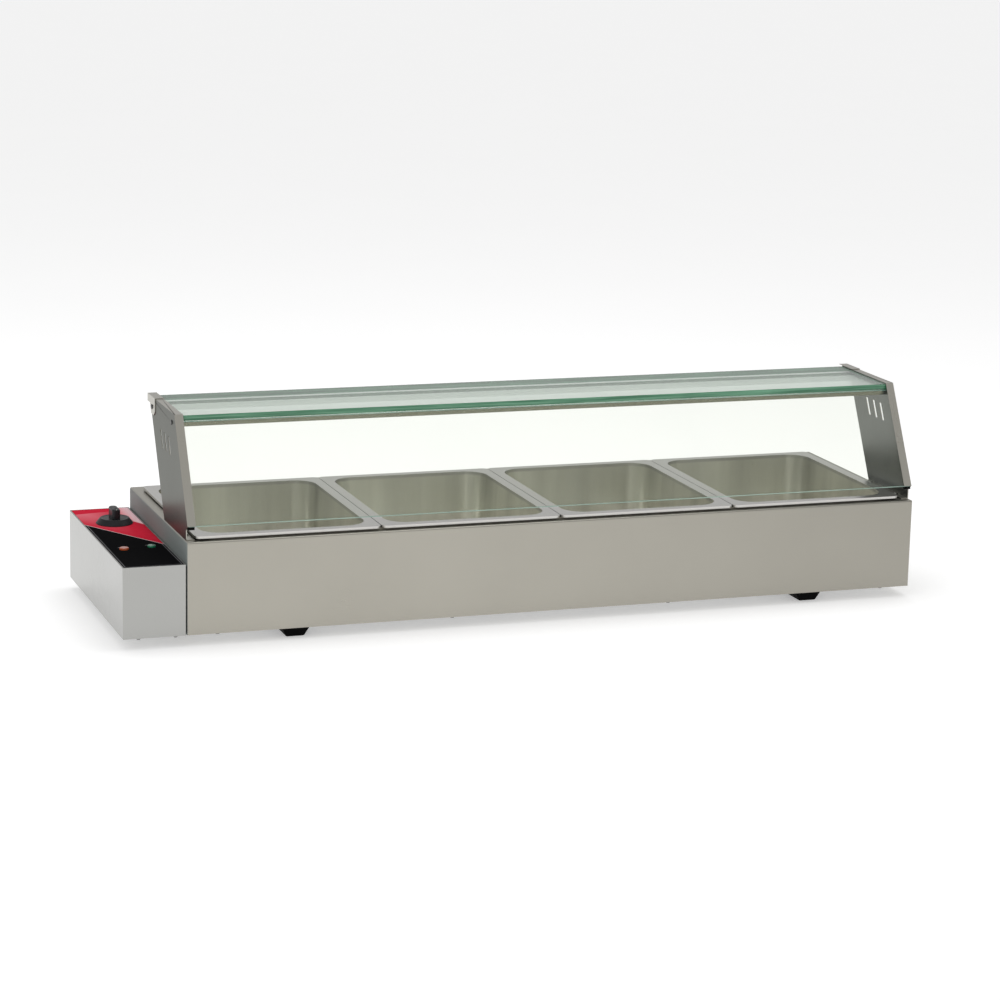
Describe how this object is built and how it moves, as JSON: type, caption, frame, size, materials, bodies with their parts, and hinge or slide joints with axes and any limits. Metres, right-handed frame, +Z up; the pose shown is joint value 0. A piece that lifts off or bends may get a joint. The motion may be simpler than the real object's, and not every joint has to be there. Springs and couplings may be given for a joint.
{
  "type": "countertop food warmer",
  "caption": "Electric countertop bain-marie: low heated stainless casing with lift-out pans, an end control box, and a sloping glass guard carrying a glass shelf.",
  "frame": {"origin": "middle of the whole footprint, on the surface that the feet stand on", "axes": "+X along the casing from the control box end, +Y from the customer's side, where the sloping glass stands, to the server's side, +Z up"},
  "size_m": [1.1852, 0.3594, 0.3085],
  "materials": {
    "casing_steel": "brushed satin stainless sheet",
    "plain_steel": "mill-finish steel sheet",
    "tank_steel": "deep-drawn stainless, satin",
    "heater_steel": "heat-darkened tube",
    "brass": "turned brass",
    "screw_steel": "bright zinc-plated steel",
    "mineral_board": "pressed mineral fibre",
    "black_rubber": "moulded matt rubber",
    "printed_film": "printed polyester film, satin gloss",
    "green_lens": "clear-coloured lens",
    "orange_lens": "clear-coloured lens",
    "white_plastic": "moulded plastic",
    "black_plastic": "moulded black plastic, satin",
    "thermostat_plastic": "moulded phenolic",
    "copper": "drawn copper tube",
    "bracket_steel": "bright satin stainless sheet",
    "rail_steel": "satin stainless channel",
    "shelf_glass": "clear toughened glass, green edge",
    "front_pane_glass": "clear toughened glass, polished edge",
    "pan_steel": "pressed stainless, satin inside"
  },
  "bodies": {
    "base": {"base_plate": "plain_steel", "base_screws": "screw_steel", "box_bolts": "screw_steel", "box_cover": "plain_steel", "box_gasket": "black_rubber", "box_nuts": "screw_steel", "bracket_left": "bracket_steel", "bracket_right": "bracket_steel", "bracket_screws": "screw_steel", "clamp_nuts": "screw_steel", "clamp_studs": "screw_steel", "clip_left": "bracket_steel", "clip_right": "bracket_steel", "control_box": "casing_steel", "control_panel": "casing_steel", "cover_screws": "screw_steel", "earth_nut": "brass", "earth_stud": "brass", "foot_bolts": "screw_steel", "foot_front_left": "black_rubber", "foot_front_right": "black_rubber", "foot_nuts": "screw_steel", "foot_rear_left": "black_rubber", "foot_rear_right": "black_rubber", "front_glass": "front_pane_glass", "front_rail": "rail_steel", "glass_seats": "black_rubber", "green_lamp_housing": "white_plastic", "green_lamp_lens": "green_lens", "heater_clamps": "plain_steel", "heater_front": "heater_steel", "heater_nuts": "brass", "heater_rear": "heater_steel", "inlet_pins": "brass", "inlet_screws": "screw_steel", "inlet_socket": "black_plastic", "insulation_board": "mineral_board", "limit_thermostat": "plain_steel", "orange_lamp_housing": "white_plastic", "orange_lamp_lens": "orange_lens", "outer_casing": "casing_steel", "panel_overlay": "printed_film", "probe_grommet": "black_rubber", "rail_screws": "screw_steel", "rear_rail": "rail_steel", "terminal_block": "white_plastic", "terminal_screws": "brass", "thermostat_body": "thermostat_plastic", "thermostat_probe": "copper", "thermostat_screws": "screw_steel", "top_glass": "shelf_glass", "water_tank": "tank_steel"},
    "knob": {"control_knob": "black_plastic", "knob_pointer": "white_plastic", "thermostat_shaft": "plain_steel"},
    "pan_1": {"pan_1": "pan_steel"},
    "pan_2": {"pan_2": "pan_steel"},
    "pan_3": {"pan_3": "pan_steel"},
    "pan_4": {"pan_4": "pan_steel"}
  },
  "joints": [
    {"name": "knob_turn", "type": "hinge", "parent": "base", "child": "knob", "pos_m": [-0.5465, 0.08325, 0.1159], "axis": [0, 0, -1], "range_deg": [0, 270]},
    {"name": "pan_1_tilt", "type": "hinge", "parent": "base", "child": "pan_1", "pos_m": [-0.357, -0.16995, 0.1481], "axis": [1, 0, 0], "range_deg": [0, 25]},
    {"name": "pan_2_tilt", "type": "hinge", "parent": "base", "child": "pan_2", "pos_m": [-0.091, -0.16995, 0.1481], "axis": [1, 0, 0], "range_deg": [0, 25]},
    {"name": "pan_3_tilt", "type": "hinge", "parent": "base", "child": "pan_3", "pos_m": [0.175, -0.16995, 0.1481], "axis": [1, 0, 0], "range_deg": [0, 25]},
    {"name": "pan_4_tilt", "type": "hinge", "parent": "base", "child": "pan_4", "pos_m": [0.441, -0.16995, 0.1481], "axis": [1, 0, 0], "range_deg": [0, 25]}
  ]
}
